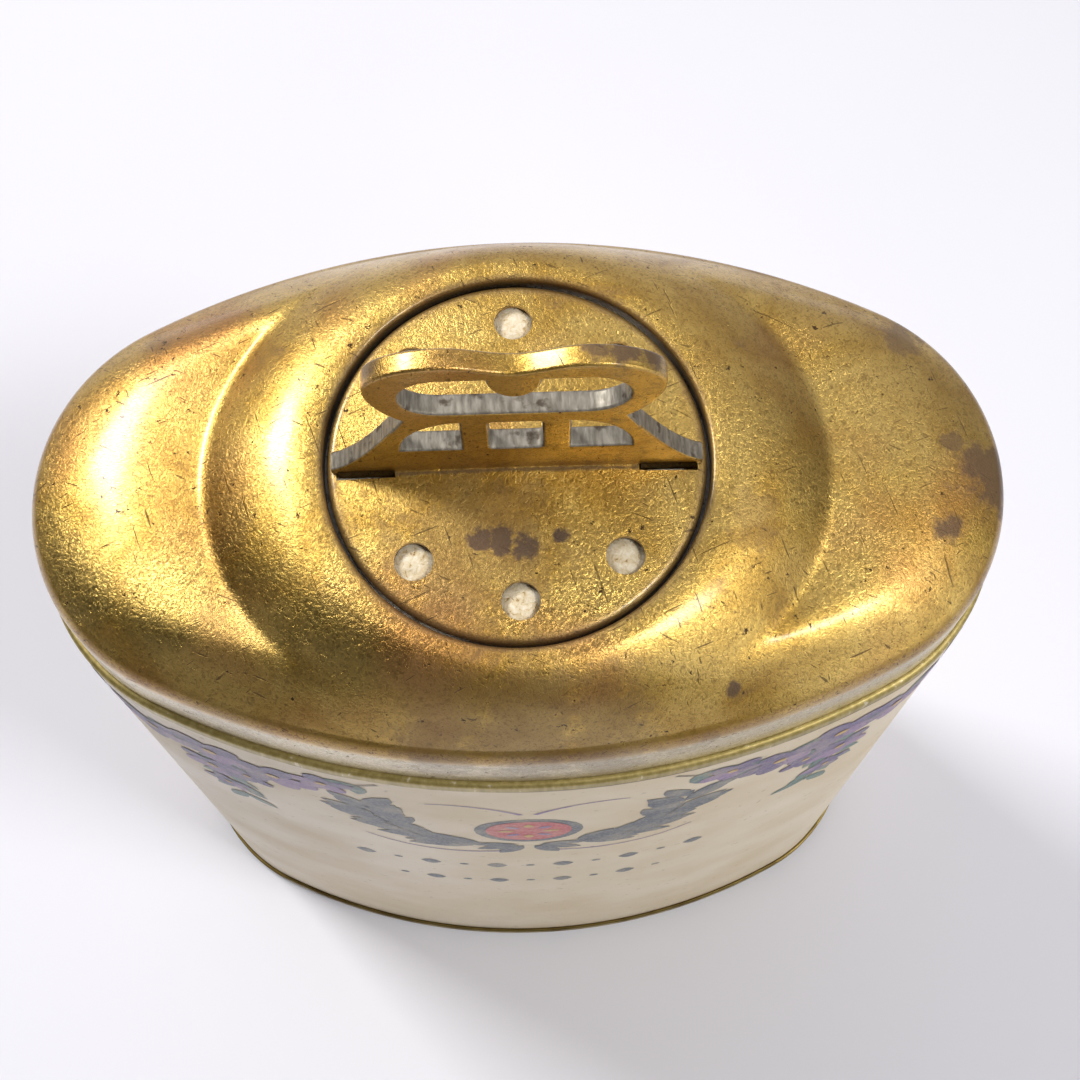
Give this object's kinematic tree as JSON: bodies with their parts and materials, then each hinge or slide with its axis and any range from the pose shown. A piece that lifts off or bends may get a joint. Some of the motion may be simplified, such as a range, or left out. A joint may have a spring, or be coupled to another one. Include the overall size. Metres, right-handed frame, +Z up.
{
  "type": "talcum powder tin",
  "caption": "Oval tinplate powder tin with a lift-off stepped brass lid and a perforated sifter disc turned by a pierced thumb key.",
  "frame": {"origin": "on the table, under the middle of the tin", "axes": "+X along the oval's length, +Y to the back with the side seam, +Z up along the sifter's axis"},
  "size_m": [0.0778, 0.0448, 0.1273],
  "materials": {
    "printed_tinplate": "cream printed lacquer on tinplate, slightly glossy, aged",
    "gilt_tinplate": "olive gold lacquer on tinplate, worn",
    "bare_tinplate": "bare tinned steel, dull",
    "worn_brass": "satin stamped brass, scratched and spotted with patina",
    "key_brass": "satin brass face with grey sheared edges"
  },
  "bodies": {
    "tin": {"body_wall": "printed_tinplate", "base_pan": "gilt_tinplate", "neck_ring": "bare_tinplate"},
    "lid": {"lid_dome": "worn_brass", "sieve_plate": "bare_tinplate"},
    "sifter": {"sifter_disc": "worn_brass", "thumb_key": "key_brass", "pivot_washer": "bare_tinplate"}
  },
  "joints": [
    {"name": "lid_lift", "type": "slide", "parent": "tin", "child": "lid", "axis": [0, 0, 1], "range_m": [0, 0.06]},
    {"name": "sifter_turn", "type": "hinge", "parent": "lid", "child": "sifter", "pos_m": [0, 0, 0.1078], "axis": [0, 0, 1], "range_deg": [0, 22.5]}
  ]
}
